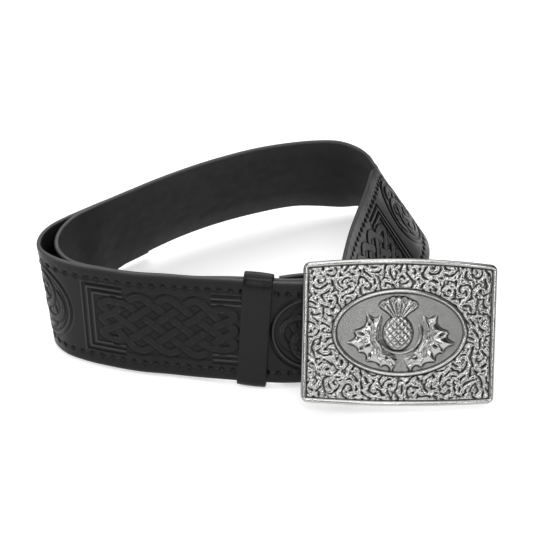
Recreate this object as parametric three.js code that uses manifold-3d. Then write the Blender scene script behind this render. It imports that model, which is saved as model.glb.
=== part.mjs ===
// Kilt belt standing on its lower edges, with its plate buckle towards -Y.
// One leather strap is wound once round, and its free end runs outside the fixed end through a keeper.
// Millimetres, +Z up, origin in the middle of the footprint.
import * as THREE from "three";
import { mergeVertices } from "three/addons/utils/BufferGeometryUtils.js";
import Module from "manifold-3d";

const wasm = await Module();
wasm.setup();

// Strap
const loopWidth = 220; // between the left and right bends
const loopDepth = 185; // between the front and back runs
const strapWidth = 57;
const strapThickness = 2.3;
const edgeRounding = 0.6; // burnished corners of the strap
const layerGap = 0.4; // between the fixed end and the free end that lies on it
const tailGap = 2; // between the back run and the free end behind it
const stationPitch = 6; // along the strap
const sharpTurn = 0.3; // radians between stations
const layerDrop = 1.4; // of the fixed end below the free end, left of the keeper
const tailLift = 0.05; // the free end's height behind the back run, share of that run's lift
const foldReturn = 7; // each of the two steps of the fixed end past the bar

// Keeper
const keeperWidth = 14.5;
const keeperThickness = 1.6;
const keeperClearance = 0.4; // to the strap's faces
const keeperEndClearance = 1.2; // to the strap's edges
const keeperRounding = 3.2; // its outer corners
const keeperTilt = -4.6; // degrees off square to the strap

// Buckle plate
const plateWidth = 93.5;
const plateHeight = 71; // at the middle of its arched edges
const plateThickness = 2;
const plateBow = 4; // how far its ends lie behind its middle
const topArch = 3;
const bottomArch = 1;
const cornerRadius = 3;
const rimWidth = 2.2;
const rimRise = 1.1;
const plateLean = 24; // degrees
const plateYaw = 3;
const plateRoll = 2.6;
const plateGap = 0.6; // to the strap's upper edge
const plateHeightShare = 0.641; // height of its middle on the strap's width
const plateColumns = 24;

// Relief on the plate
const reliefRise = 0.9;
const reliefRoot = 0.6; // how far relief is let into the plate
const ovalWidth = 65;
const ovalHeight = 42;
const ovalBand = 1.6;
const ovalRise = 1.3;
const ovalSteps = 48;
const ballRadius = 7.8;
const ballRise = 2.4;
const collarWidth = 1.5;
const crownHeight = 9;
const crownSpread = 62; // degrees from the first bristle to the last
const crownBristles = 7;
const bristleWidth = 2.2;
const bristleRows = [[0, 0.35], [0.45, 0.5], [0.8, 0.55], [1, 0.12]]; // share of its length, half breadth

// Bail and hook on the back of the plate
const wireDiameter = 2;
const wireClearance = 0.4;
const bailInset = 3.3; // of its legs from the plate's end
const wireBend = 1.2;
const wireSteps = 60;
const bailSpread = 0.78; // height of its feet on the half plate
const padRadius = 2.6;
const padHeight = 1.4;
const hookInset = 10;
const hookStem = 1.6;
const hookHead = 2.4;
const hookReach = 7;

// Lift of the front run: the keeper's wall passes under it
const frontLift = keeperThickness + keeperEndClearance;

// Sections of the strap in the order of the free end's travel.
// footX, footY: lower edge, shares of loopWidth and loopDepth from the left front corner.
// lift: height of the lower edge, share of frontLift.
// leanX, leanY: how far the upper edge stands off the lower one, shares of the section's length.
// skew: degrees by which the section runs aslant, where the strap is bent like a cone.
const bendRows = [
  // footX, footY, lift, leanX, leanY, skew
  [0.171, 0.161, 0.0, -0.07, -0.03, 0],
  [0.146, 0.243, 0.0, -0.12, -0.04, 0],
  [0.141, 0.325, 0.3, -0.1, -0.06, 0],
];
const backRows = [
  [0.155, 0.415, 0.7, -0.05, -0.12, 0],
  [0.182, 0.495, 1.4, 0.05, -0.19, 0],
  [0.214, 0.57, 2.1, 0.14, -0.25, 0],
  [0.309, 0.68, 3.2, 0.18, -0.3, 0],
  [0.418, 0.785, 3.6, 0.19, -0.33, 0],
  [0.536, 0.865, 3.9, 0.19, -0.35, 0],
  [0.66, 0.935, 3.6, 0.21, -0.38, 0],
  [0.723, 0.957, 2.9, 0.22, -0.39, 0],
];
const rightRows = [
  [0.786, 0.973, 2.1, 0.16, -0.47, 0],
  [0.845, 0.988, 1.8, 0.01, -0.56, 5],
  [0.9, 0.972, 1.2, -0.16, -0.57, 12],
  [0.948, 0.935, 0.5, -0.31, -0.5, 18],
  [0.982, 0.88, 0.0, -0.43, -0.37, 18],
  [0.996, 0.805, 0.7, -0.505, -0.2, 15],
  [0.999, 0.724, 1.8, -0.56, 0.0, 8],
  [0.995, 0.643, 2.5, -0.58, 0.13, 2],
  [0.982, 0.562, 2.8, -0.57, 0.16, 0],
  [0.932, 0.411, 2.1, -0.48, 0.14, 0],
  [0.873, 0.265, 1.4, -0.35, 0.11, 0],
  [0.812, 0.119, 1.1, -0.19, 0.05, 0],
  [0.77, 0.052, 1.0, -0.06, 0.0, 0],
];
const frontRows = [
  [0.69, 0.012, 1.0, -0.02, 0.0, 0],
  [0.636, 0.004, 1.0, -0.02, 0.02, 0],
  [0.568, 0.01, 1.0, -0.02, 0.03, 0],
  [0.5, 0.023, 0.9, -0.02, 0.03, 0],
  [0.436, 0.039, 0.7, -0.02, 0.02, 0],
  [0.37, 0.056, 0.6, -0.02, 0.01, 0],
  [0.305, 0.07, 0.55, -0.03, 0.0, 0],
  [0.236, 0.096, 0.55, -0.03, -0.01, 0],
];
const outerBendRows = [
  [0.177, 0.127, 0.5, -0.03, -0.03, 0],
  [0.132, 0.164, 0.45, -0.06, -0.03, 0],
  [0.103, 0.219, 0.4, -0.09, -0.04, 0],
  [0.099, 0.285, 0.4, -0.1, -0.07, 0],
  [0.11, 0.36, 0.4, -0.07, -0.09, 0],
];
const tailRows = [1, 2, 3]; // sections of the back run that the free end follows
const barRow = 0; // section of the front run at the buckle's bar
const keeperPlace = 2; // section of the front run at the keeper
const innerRows = 8; // sections of the front run that the fixed end follows

// Scrolls of the foliage on the right half of the plate, repeated on its left half.
// u, v: centre of the curl, shares of the half plate; radius in mm; from and sweep in degrees.
const scrollRows = [
  // u, v, radius, from, sweep
  [0.1, 0.78, 4.6, 200, 300],
  [0.3, 0.81, 3.8, 20, -290],
  [0.47, 0.72, 4.6, 170, 300],
  [0.63, 0.83, 3.4, 230, -280],
  [0.66, 0.58, 4.2, 60, 290],
  [0.84, 0.74, 4.6, 120, -300],
  [0.85, 0.46, 4.2, 280, 290],
  [0.86, 0.2, 3.8, 90, -280],
  [0.87, -0.05, 3.8, 250, 280],
  [0.85, -0.3, 4.0, 80, -290],
  [0.83, -0.56, 4.6, 250, 300],
  [0.66, -0.56, 3.6, 20, -280],
  [0.64, -0.8, 4.2, 200, 290],
  [0.45, -0.74, 4.2, 330, -290],
  [0.28, -0.83, 3.6, 190, 280],
  [0.1, -0.79, 4.4, 0, -300],
];
const scrollWidth = 1.9;
const scrollSteps = 8;

// Outline of the right leaf, shares of the oval's half width and half height: tips and the bays between.
const leafOutline = [
  [0.2, -0.1], [0.3, 0.2], [0.42, 0.58], [0.5, 0.34], [0.66, 0.62], [0.64, 0.26], [0.8, 0.2], [0.75, 0.02],
  [0.93, -0.06], [0.77, -0.14], [0.78, -0.28], [0.63, -0.28], [0.62, -0.5], [0.48, -0.4], [0.42, -0.66],
  [0.32, -0.46], [0.24, -0.78], [0.16, -0.46], [0.06, -0.5],
];
const leafRise = 1.4;

const leather = new THREE.MeshStandardMaterial({ color: 0x17171a, roughness: 0.55, metalness: 0 });
const keeperLeather = new THREE.MeshStandardMaterial({ color: 0x141416, roughness: 0.45, metalness: 0 });
const pewter = new THREE.MeshStandardMaterial({ color: 0xb4b4b2, roughness: 0.3, metalness: 1 });

const vec = (x, y, z) => new THREE.Vector3(x, y, z);

// Geometry helpers
function geometryOf(points, triangles) {
  const geometry = new THREE.BufferGeometry();
  geometry.setAttribute("position", new THREE.Float32BufferAttribute(points.flatMap((p) => p.toArray()), 3));
  geometry.setIndex(triangles);
  return geometry;
}

function signedVolume(geometry) {
  const position = geometry.getAttribute("position");
  const index = geometry.getIndex();
  const [a, b, c] = [vec(), vec(), vec()];
  let volume = 0;
  for (let i = 0; i < index.count; i += 3) {
    a.fromBufferAttribute(position, index.getX(i));
    b.fromBufferAttribute(position, index.getX(i + 1));
    c.fromBufferAttribute(position, index.getX(i + 2));
    volume += a.dot(b.cross(c)) / 6;
  }
  return volume;
}

// Skins a row of like sections; a ring joins its last section to its first.
function loft(sections, ring = false) {
  const sides = sections[0].length;
  const spans = ring ? sections.length : sections.length - 1;
  const triangles = [];
  for (let i = 0; i < spans; i += 1) {
    const here = i * sides;
    const next = ((i + 1) % sections.length) * sides;
    for (let j = 0; j < sides; j += 1) {
      const k = (j + 1) % sides;
      triangles.push(here + j, here + k, next + k, here + j, next + k, next + j);
    }
  }
  if (!ring) {
    const last = spans * sides;
    for (let j = 1; j < sides - 1; j += 1) {
      triangles.push(0, j + 1, j, last, last + j, last + j + 1);
    }
  }
  const geometry = geometryOf(sections.flat(), triangles);
  if (signedVolume(geometry) < 0) {
    geometry.setIndex(triangles.map((_, i) => triangles[i - (i % 3) + 2 - (i % 3)]));
  }
  return geometry;
}

function solidOf(geometry) {
  const bare = geometry.index ? geometry.clone() : mergeVertices(geometry);
  bare.deleteAttribute("normal");
  bare.deleteAttribute("uv");
  const merged = mergeVertices(bare, 1e-4);
  return new wasm.Manifold(new wasm.Mesh({
    numProp: 3,
    vertProperties: new Float32Array(merged.getAttribute("position").array),
    triVerts: new Uint32Array(merged.getIndex().array),
  }));
}

function geometryFrom(solid) {
  const mesh = solid.getMesh();
  const geometry = new THREE.BufferGeometry();
  geometry.setAttribute("position", new THREE.BufferAttribute(new Float32Array(mesh.vertProperties), 3));
  geometry.setIndex(new THREE.BufferAttribute(new Uint32Array(mesh.triVerts), 1));
  return geometry;
}

function meshOf(name, geometry, material) {
  const mesh = new THREE.Mesh(geometry, material);
  mesh.name = name;
  return mesh;
}

// Strap: each section is a straight ruling from the lower edge to the upper edge.
function rulingOf([footX, footY, lift, leanX, leanY, skew]) {
  const foot = vec((footX - 0.5) * loopWidth, (footY - 0.5) * loopDepth, lift * frontLift);
  const up = vec(leanX, leanY, Math.sqrt(1 - leanX ** 2 - leanY ** 2));
  const length = strapWidth / Math.cos(THREE.MathUtils.degToRad(skew));
  return { foot, head: foot.clone().addScaledVector(up, length) };
}

function middleOf(ruling) {
  return ruling.foot.clone().lerp(ruling.head, 0.5);
}

// Directions at a ruling: along the strap, up its width and out of its face.
function frameAt(rulings, i) {
  const before = middleOf(rulings[Math.max(i - 1, 0)]);
  const after = middleOf(rulings[Math.min(i + 1, rulings.length - 1)]);
  const up = rulings[i].head.clone().sub(rulings[i].foot).normalize();
  const out = up.clone().cross(after.sub(before)).normalize();
  return { up, out, along: out.clone().cross(up) };
}

function offsetRuling(rulings, i, distance) {
  const { out } = frameAt(rulings, i);
  const { foot, head } = rulings[i];
  return {
    foot: foot.clone().addScaledVector(out, distance),
    head: head.clone().addScaledVector(out, distance),
  };
}

// Even stations along the strap, closer where it turns sharply.
function resample(rulings) {
  const feet = new THREE.CatmullRomCurve3(rulings.map((r) => r.foot), false, "centripetal");
  const heads = new THREE.CatmullRomCurve3(rulings.map((r) => r.head), false, "centripetal");
  const steps = rulings.length * 24;
  const fine = Array.from({ length: steps + 1 }, (_, i) => (
    { foot: feet.getPoint(i / steps), head: heads.getPoint(i / steps) }));
  const stations = [fine[0]];
  let lastOut = frameAt(fine, 0).out;
  let run = 0;
  for (let i = 1; i < fine.length - 1; i += 1) {
    run += middleOf(fine[i]).distanceTo(middleOf(fine[i - 1]));
    const { out } = frameAt(fine, i);
    if (run >= stationPitch || (out.angleTo(lastOut) > sharpTurn && run > strapThickness / 4)) {
      stations.push(fine[i]);
      lastOut = out;
      run = 0;
    }
  }
  return [...stations, fine.at(-1)];
}

function strapSection(rulings, i) {
  const { up, out } = frameAt(rulings, i);
  const half = strapThickness / 2;
  const flat = half - edgeRounding * 0.7;
  const length = rulings[i].head.distanceTo(rulings[i].foot);
  const profile = [
    [-half, edgeRounding], [-flat, 0], [flat, 0], [half, edgeRounding],
    [half, length - edgeRounding], [flat, length], [-flat, length], [-half, length - edgeRounding],
  ];
  return profile.map(([across, height]) => (
    rulings[i].foot.clone().addScaledVector(out, across).addScaledVector(up, height)));
}

const wireRadius = wireDiameter / 2;
const layerPitch = strapThickness + layerGap;
const front = frontRows.map(rulingOf);
const back = backRows.map(rulingOf);
const right = rightRows.map(rulingOf);
const bar = frameAt(front, barRow);

// Fixed end: back from its return, round the bail's bar, then along the inside of the front run.
function fixedEnd() {
  const inner = front.slice(0, innerRows).map((_, i) => offsetRuling(front, i, -layerPitch));
  inner.forEach((ruling, i) => {
    const drop = layerDrop * THREE.MathUtils.clamp((i - keeperPlace) / 2, 0, 1);
    ruling.foot.z -= drop;
    ruling.head.z -= drop;
  });
  const turnRadius = wireRadius + wireClearance + strapThickness / 2;
  const shifted = (along, outward) => ({
    foot: inner[0].foot.clone().addScaledVector(bar.along, along).addScaledVector(bar.out, outward),
    head: inner[0].head.clone().addScaledVector(bar.along, along).addScaledVector(bar.out, outward),
  });
  const turn = [180, 150, 120, 90, 60, 30].map((degrees) => {
    const angle = THREE.MathUtils.degToRad(degrees);
    return shifted(-Math.sin(angle) * turnRadius, (Math.cos(angle) - 1) * turnRadius);
  });
  const returned = [2, 1].map((step) => {
    const spread = 0.5 * (2 - step) * (2 * turnRadius - layerPitch);
    return shifted(step * foldReturn, -layerPitch - 2 * layerGap - spread);
  });
  return [...returned, ...turn, ...inner];
}

function wholeStrap() {
  const tail = tailRows.map((i) => {
    const [, , lift, leanX, leanY] = backRows[i];
    const drop = (1 - tailLift) * lift * frontLift;
    const ruling = offsetRuling(back, i, strapThickness + tailGap + drop * Math.hypot(leanX, leanY));
    ruling.foot.z -= drop;
    ruling.head.z -= drop;
    return ruling;
  });
  return [
    ...fixedEnd(), ...bendRows.map(rulingOf), ...back, ...right, ...front,
    ...outerBendRows.map(rulingOf), ...tail,
  ];
}

function strapGeometry() {
  const rulings = resample(wholeStrap());
  return loft(rulings.map((_, i) => strapSection(rulings, i)));
}

// Keeper: a band round the two layers at its section of the front run.
function roundedBox(left, bottom, width, height, radius, path) {
  path.moveTo(left + radius, bottom);
  path.lineTo(left + width - radius, bottom);
  path.absarc(left + width - radius, bottom + radius, radius, -Math.PI / 2, 0);
  path.absarc(left + width - radius, bottom + height - radius, radius, 0, Math.PI / 2);
  path.absarc(left + radius, bottom + height - radius, radius, Math.PI / 2, Math.PI);
  path.absarc(left + radius, bottom + radius, radius, Math.PI, Math.PI * 1.5);
  path.closePath();
  return path;
}

function keeperMesh() {
  const { up, out } = frameAt(front, keeperPlace);
  const inside = strapThickness / 2 + layerPitch + keeperClearance;
  const outside = strapThickness / 2 + keeperClearance;
  const innerHeight = strapWidth + 2 * keeperEndClearance;
  const wall = keeperThickness;
  const outline = roundedBox(
    -inside - wall, -innerHeight / 2 - wall, inside + outside + 2 * wall, innerHeight + 2 * wall,
    keeperRounding, new THREE.Shape());
  const hole = roundedBox(
    -inside, -innerHeight / 2, inside + outside, innerHeight, keeperClearance, new THREE.Path());
  outline.holes.push(hole);
  const geometry = new THREE.ExtrudeGeometry(outline, { depth: keeperWidth, bevelEnabled: false, curveSegments: 4 });
  geometry.translate(0, 0, -keeperWidth / 2);
  const mesh = meshOf("keeper", geometryFrom(solidOf(geometry)), keeperLeather);
  const basis = new THREE.Matrix4().makeBasis(out, up, out.clone().cross(up));
  const tilt = new THREE.Matrix4().makeRotationX(THREE.MathUtils.degToRad(keeperTilt));
  mesh.quaternion.setFromRotationMatrix(basis.multiply(tilt));
  mesh.position.copy(middleOf(front[keeperPlace]));
  return mesh;
}

// Buckle plate in its own frame: u to the right, v up, w out of its face.
const halfWidth = plateWidth / 2;
const halfHeight = plateHeight / 2;

function bowed(u, v, w) {
  return vec(u, v, w - plateBow * (u / halfWidth) ** 2);
}

function bow(geometry) {
  const position = geometry.getAttribute("position");
  for (let i = 0; i < position.count; i += 1) {
    const p = bowed(position.getX(i), position.getY(i), position.getZ(i));
    position.setXYZ(i, p.x, p.y, p.z);
  }
  return geometry;
}

function edgeHeight(u, arch) {
  return halfHeight - arch * (u / halfWidth) ** 2;
}

function cornerDrop(u) {
  const into = Math.abs(u) - (halfWidth - cornerRadius);
  return into > 0 ? cornerRadius - Math.sqrt(Math.max(cornerRadius ** 2 - into ** 2, 0)) : 0;
}

function plateStations() {
  const inner = Array.from({ length: plateColumns + 1 }, (_, i) => (
    (halfWidth - cornerRadius) * (2 * i / plateColumns - 1)));
  const corner = [30, 60, 85].map((degrees) => (
    halfWidth - cornerRadius + cornerRadius * Math.sin(THREE.MathUtils.degToRad(degrees))));
  return [...corner.map((u) => -u).reverse(), ...inner, ...corner];
}

function plateBody() {
  const sections = plateStations().map((u) => {
    const top = edgeHeight(u, topArch) - cornerDrop(u);
    const bottom = cornerDrop(u) - edgeHeight(u, bottomArch);
    return [bowed(u, bottom, -plateThickness), bowed(u, top, -plateThickness), bowed(u, top, 0), bowed(u, bottom, 0)];
  });
  return loft(sections);
}

// Raised band that follows a closed outline of points given by a function of the turn.
function raisedBand(pointAt, steps, width, rise) {
  const sections = Array.from({ length: steps }, (_, i) => {
    const here = pointAt(i / steps);
    const ahead = pointAt((i + 0.5) / steps);
    const behind = pointAt((i - 0.5 + steps) / steps);
    const side = new THREE.Vector2(ahead.y - behind.y, behind.x - ahead.x).normalize();
    const place = (across, height) => bowed(here.x - side.x * across, here.y - side.y * across, height);
    return [
      place(0, -reliefRoot), place(0, rise * 0.6), place(width * 0.25, rise),
      place(width * 0.75, rise), place(width, rise * 0.6), place(width, -reliefRoot),
    ];
  });
  return loft(sections, true);
}

function outlinePath() {
  const stations = plateStations();
  const lower = stations.map((u) => new THREE.Vector2(u, cornerDrop(u) - edgeHeight(u, bottomArch)));
  const upper = stations.map((u) => new THREE.Vector2(u, edgeHeight(u, topArch) - cornerDrop(u))).reverse();
  const path = new THREE.CurvePath();
  const points = [...lower, ...upper];
  points.forEach((p, i) => path.add(new THREE.LineCurve(p, points[(i + 1) % points.length])));
  return path;
}

// Point on the plate's outline, from the lower left corner round to the right.
const plateOutline = outlinePath();
function outlinePoint(turn) {
  return plateOutline.getPointAt(((turn % 1) + 1) % 1);
}

function ovalPoint(turn) {
  const angle = 2 * Math.PI * turn;
  return new THREE.Vector2(Math.cos(angle) * ovalWidth / 2, Math.sin(angle) * ovalHeight / 2);
}

// One curl of foliage: a ridge on a spiral that thins towards its eye.
function scroll([u, v, radius, from, sweep], side) {
  const sections = Array.from({ length: scrollSteps + 1 }, (_, i) => {
    const share = i / scrollSteps;
    const angle = THREE.MathUtils.degToRad(from + sweep * share);
    const reach = radius * (1 - 0.72 * share);
    const half = scrollWidth * (0.55 - 0.3 * share);
    const at = (across, height) => bowed(
      side * (u * halfWidth + Math.cos(angle) * (reach + across)),
      v * halfHeight + Math.sin(angle) * (reach + across), height);
    return [at(-half, -reliefRoot), at(-half * 0.5, reliefRise), at(half * 0.5, reliefRise), at(half, -reliefRoot)];
  });
  return loft(sections);
}

function leaf(side) {
  const shape = new THREE.Shape(leafOutline.map(([u, v]) => (
    new THREE.Vector2(side * u * ovalWidth / 2, v * ovalHeight / 2))));
  const bevel = leafRise * 0.35;
  const geometry = new THREE.ExtrudeGeometry(shape, {
    depth: reliefRoot + leafRise - bevel, bevelEnabled: true, bevelThickness: bevel,
    bevelSize: bevel, bevelOffset: -bevel, bevelSegments: 1,
  });
  geometry.translate(0, 0, -reliefRoot);
  return bow(geometry);
}

function thistleBall() {
  const ball = new THREE.SphereGeometry(1, 20, 12);
  ball.scale(ballRadius, ballRadius, ballRise + reliefRoot);
  ball.translate(0, 0, -reliefRoot);
  return ball;
}

// Collar: the band that cups the lower half of the ball.
function thistleCollar() {
  const sections = Array.from({ length: 13 }, (_, i) => {
    const angle = Math.PI * (1.02 + 0.96 * i / 12);
    const at = (reach, height) => bowed(Math.cos(angle) * reach, Math.sin(angle) * reach, height);
    const reach = ballRadius - 0.3;
    return [
      at(reach, -reliefRoot), at(reach, ballRise * 0.6),
      at(reach + collarWidth, ballRise * 0.6), at(reach + collarWidth, -reliefRoot),
    ];
  });
  return loft(sections);
}

function crownBristle(i) {
  const angle = THREE.MathUtils.degToRad(90 + crownSpread * (i / (crownBristles - 1) - 0.5));
  const root = ballRadius * 0.75;
  const reach = root + crownHeight + ballRadius * 0.25;
  const across = new THREE.Vector2(-Math.sin(angle), Math.cos(angle));
  const sections = bristleRows.map(([share, breadth]) => {
    const half = bristleWidth * breadth;
    const distance = root + (reach - root) * share;
    const at = (side, height) => bowed(
      Math.cos(angle) * distance + across.x * side, Math.sin(angle) * distance + across.y * side, height);
    return [at(-half, -reliefRoot), at(-half * 0.4, leafRise), at(half * 0.4, leafRise), at(half, -reliefRoot)];
  });
  return loft(sections);
}

// Frame of the plate in the belt: it leans on the strap's upper edge at its left end.
function plateFrame() {
  const turn = new THREE.Euler(
    THREE.MathUtils.degToRad(90 - plateLean), THREE.MathUtils.degToRad(plateRoll),
    THREE.MathUtils.degToRad(plateYaw), "ZYX");
  const turned = new THREE.Matrix4().makeRotationFromEuler(turn);
  const edge = front[barRow].head.clone()
    .addScaledVector(bar.out, strapThickness / 2 + plateGap);
  const normal = vec(0, 0, 1).applyMatrix4(turned);
  const rise = vec(0, 1, 0).applyMatrix4(turned);
  const reach = vec(1, 0, 0).applyMatrix4(turned);
  const endU = bailInset - halfWidth;
  const middleHeight = frontLift + plateHeightShare * strapWidth;
  const touch = bowed(endU, 0, -plateThickness);
  const place = edge.clone().addScaledVector(reach, -touch.x).addScaledVector(normal, -touch.z);
  const drop = (place.z - middleHeight) / rise.z;
  place.addScaledVector(rise, -drop);
  return { turned, place, normal, rise, reach };
}

const frame = plateFrame();
const toPlate = new THREE.Matrix4().copy(frame.turned).setPosition(frame.place).invert();

// Round wire along straight runs with rounded corners, from the belt's frame into the plate's frame.
function wire(corners, radius) {
  const points = corners.map((p) => p.clone().applyMatrix4(toPlate));
  const path = new THREE.CurvePath();
  let start = points[0];
  for (let i = 1; i < points.length - 1; i += 1) {
    const [before, corner, after] = points.slice(i - 1, i + 2);
    const bend = Math.min(wireBend, before.distanceTo(corner) / 2, after.distanceTo(corner) / 2);
    const into = corner.clone().add(before.clone().sub(corner).setLength(bend));
    const outOf = corner.clone().add(after.clone().sub(corner).setLength(bend));
    path.add(new THREE.LineCurve3(start, into));
    path.add(new THREE.QuadraticBezierCurve3(into, corner, outOf));
    start = outOf;
  }
  path.add(new THREE.LineCurve3(start, points.at(-1)));
  const round = new THREE.Shape();
  round.absarc(0, 0, radius, 0, 2 * Math.PI);
  return new THREE.ExtrudeGeometry(round, {
    extrudePath: path, steps: wireSteps, bevelEnabled: false, curveSegments: 4,
  });
}

// Bail: a bent wire whose bar stands inside the fixed end, its legs passing under and over the strap.
function bailParts() {
  const edge = front[barRow];
  const inward = layerPitch + strapThickness / 2 + wireClearance + wireRadius;
  const beyond = wireClearance + wireRadius;
  const ahead = strapThickness / 2 + beyond;
  const on = (height, outward) => edge.foot.clone()
    .addScaledVector(bar.up, height).addScaledVector(bar.out, outward);
  const footOf = (side) => bowed(bailInset - halfWidth, side * bailSpread * halfHeight, -plateThickness / 2);
  const rootOf = (side) => footOf(side).applyMatrix4(frame.turned).add(frame.place);
  const corners = [
    rootOf(-1), on(strapWidth * 0.1, ahead), on(-beyond, ahead), on(-beyond, -inward),
    on(strapWidth + beyond, -inward), on(strapWidth + beyond, 0), rootOf(1),
  ];
  const pads = [-1, 1].map((side) => {
    const pad = new THREE.CylinderGeometry(padRadius * 0.8, padRadius, padHeight + reliefRoot, 12);
    pad.rotateX(-Math.PI / 2);
    const root = footOf(side);
    pad.translate(root.x, root.y, root.z - (plateThickness + padHeight - reliefRoot) / 2);
    return pad;
  });
  return [wire(corners, wireRadius), ...pads];
}

// Hook: a plain stud behind the plate's right end.
function hook() {
  const profile = [
    [0, reliefRoot], [hookStem + 1, reliefRoot], [hookStem + 1, -0.6], [hookStem, -1.2], [hookStem, -hookReach + 2],
    [hookHead, -hookReach + 1.4], [hookHead, -hookReach + 0.5], [hookHead - 0.6, -hookReach], [0, -hookReach],
  ].map(([radius, height]) => new THREE.Vector2(radius, height)).reverse();
  const stud = new THREE.LatheGeometry(profile, 14);
  stud.rotateX(Math.PI / 2);
  const at = bowed(halfWidth - hookInset, 0, -plateThickness);
  stud.translate(at.x, at.y, at.z);
  return stud;
}

function buckleMesh() {
  const reliefs = [
    raisedBand(outlinePoint, 96, rimWidth, rimRise),
    raisedBand(ovalPoint, ovalSteps, ovalBand, ovalRise),
    ...[1, -1].flatMap((side) => scrollRows.map((row) => scroll(row, side))),
    leaf(1), leaf(-1), thistleBall(), thistleCollar(),
    ...Array.from({ length: crownBristles }, (_, i) => crownBristle(i)),
    ...bailParts(), hook(),
  ];
  const solid = reliefs.reduce((whole, piece) => whole.add(solidOf(piece)), solidOf(plateBody()));
  const mesh = meshOf("buckle", geometryFrom(solid), pewter);
  mesh.quaternion.setFromRotationMatrix(frame.turned);
  mesh.position.copy(frame.place);
  return mesh;
}

// Assembly, moved so that the footprint's middle is the origin
const belt = new THREE.Group();
belt.add(meshOf("strap", strapGeometry(), leather), keeperMesh(), buckleMesh());
belt.updateMatrixWorld(true);
const box = new THREE.Box3().setFromObject(belt, true);
const middle = box.getCenter(vec());
belt.position.set(-middle.x, -middle.y, -box.min.z);

export default belt;
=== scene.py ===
# Kilt belt with a thistle plate buckle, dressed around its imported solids.
# Lengths in the dictionaries are millimetres, and the meshes are metres.
import math

import bmesh
import bpy
import numpy as np
from mathutils import Matrix, Vector


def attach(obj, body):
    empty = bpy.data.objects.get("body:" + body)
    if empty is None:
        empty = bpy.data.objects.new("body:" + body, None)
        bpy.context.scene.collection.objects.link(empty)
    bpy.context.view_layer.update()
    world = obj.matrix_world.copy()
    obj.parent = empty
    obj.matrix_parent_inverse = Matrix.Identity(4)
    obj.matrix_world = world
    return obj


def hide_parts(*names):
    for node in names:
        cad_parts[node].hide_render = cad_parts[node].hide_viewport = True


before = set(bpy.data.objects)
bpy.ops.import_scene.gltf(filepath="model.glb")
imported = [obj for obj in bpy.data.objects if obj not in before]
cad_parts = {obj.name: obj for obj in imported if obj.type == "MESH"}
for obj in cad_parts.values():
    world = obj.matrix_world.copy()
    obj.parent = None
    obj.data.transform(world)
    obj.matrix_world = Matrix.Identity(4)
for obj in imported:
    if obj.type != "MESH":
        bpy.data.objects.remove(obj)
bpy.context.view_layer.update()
mm = 0.001

strap = {
    "loopWidth": 220,
    "loopDepth": 185,
    "width": 57,
    "thickness": 2.3,
    "layerGap": 0.4,
    "tailGap": 2,
    "layerDrop": 1.4,
    "tailLift": 0.05,
    "foldReturn": 7,
    "frontLift": 2.8,  # the keeper's wall passes under the front run
    "shift": (-17.971, 14.389, 0.439),  # from the loop's middle to the belt's origin
    "edgeRadius": 0.75,
}

# Sections in the order of the free end's travel.
# footX, footY, lift, leanX, leanY, skew
bendRows = [
    (0.171, 0.161, 0.0, -0.07, -0.03, 0),
    (0.146, 0.243, 0.0, -0.12, -0.04, 0),
    (0.141, 0.325, 0.3, -0.1, -0.06, 0),
]
backRows = [
    (0.155, 0.415, 0.7, -0.05, -0.12, 0),
    (0.182, 0.495, 1.4, 0.05, -0.19, 0),
    (0.214, 0.57, 2.1, 0.14, -0.25, 0),
    (0.309, 0.68, 3.2, 0.18, -0.3, 0),
    (0.418, 0.785, 3.6, 0.19, -0.33, 0),
    (0.536, 0.865, 3.9, 0.19, -0.35, 0),
    (0.66, 0.935, 3.6, 0.21, -0.38, 0),
    (0.723, 0.957, 2.9, 0.22, -0.39, 0),
]
rightRows = [
    (0.786, 0.973, 2.1, 0.16, -0.47, 0),
    (0.845, 0.988, 1.8, 0.01, -0.56, 5),
    (0.9, 0.972, 1.2, -0.16, -0.57, 12),
    (0.948, 0.935, 0.5, -0.31, -0.5, 18),
    (0.982, 0.88, 0.0, -0.43, -0.37, 18),
    (0.996, 0.805, 0.7, -0.505, -0.2, 15),
    (0.999, 0.724, 1.8, -0.56, 0.0, 8),
    (0.995, 0.643, 2.5, -0.58, 0.13, 2),
    (0.982, 0.562, 2.8, -0.57, 0.16, 0),
    (0.932, 0.411, 2.1, -0.48, 0.14, 0),
    (0.873, 0.265, 1.4, -0.35, 0.11, 0),
    (0.812, 0.119, 1.1, -0.19, 0.05, 0),
    (0.77, 0.052, 1.0, -0.06, 0.0, 0),
]
frontRows = [
    (0.69, 0.012, 1.0, -0.02, 0.0, 0),
    (0.636, 0.004, 1.0, -0.02, 0.02, 0),
    (0.568, 0.01, 1.0, -0.02, 0.03, 0),
    (0.5, 0.023, 0.9, -0.02, 0.03, 0),
    (0.436, 0.039, 0.7, -0.02, 0.02, 0),
    (0.37, 0.056, 0.6, -0.02, 0.01, 0),
    (0.305, 0.07, 0.55, -0.03, 0.0, 0),
    (0.236, 0.096, 0.55, -0.03, -0.01, 0),
]
outerBendRows = [
    (0.177, 0.127, 0.5, -0.03, -0.03, 0),
    (0.132, 0.164, 0.45, -0.06, -0.03, 0),
    (0.103, 0.219, 0.4, -0.09, -0.04, 0),
    (0.099, 0.285, 0.4, -0.1, -0.07, 0),
    (0.11, 0.36, 0.4, -0.07, -0.09, 0),
]
tailRows = [1, 2, 3]  # sections of the back run that the tail lies along
keeperPlace = 2  # section of the front run at the keeper
innerRows = 8  # sections of the front run that the fixed end lies along
foldRows = 8  # sections that fold round the bail, before the fixed end
curveSteps = 40  # stations from one section to the next


def unit(vectors):
    return vectors / np.linalg.norm(vectors, axis=-1, keepdims=True)


def smooth(low, high, value):
    share = np.clip((value - low) / (high - low), 0, 1)
    return share * share * (3 - 2 * share)


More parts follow.
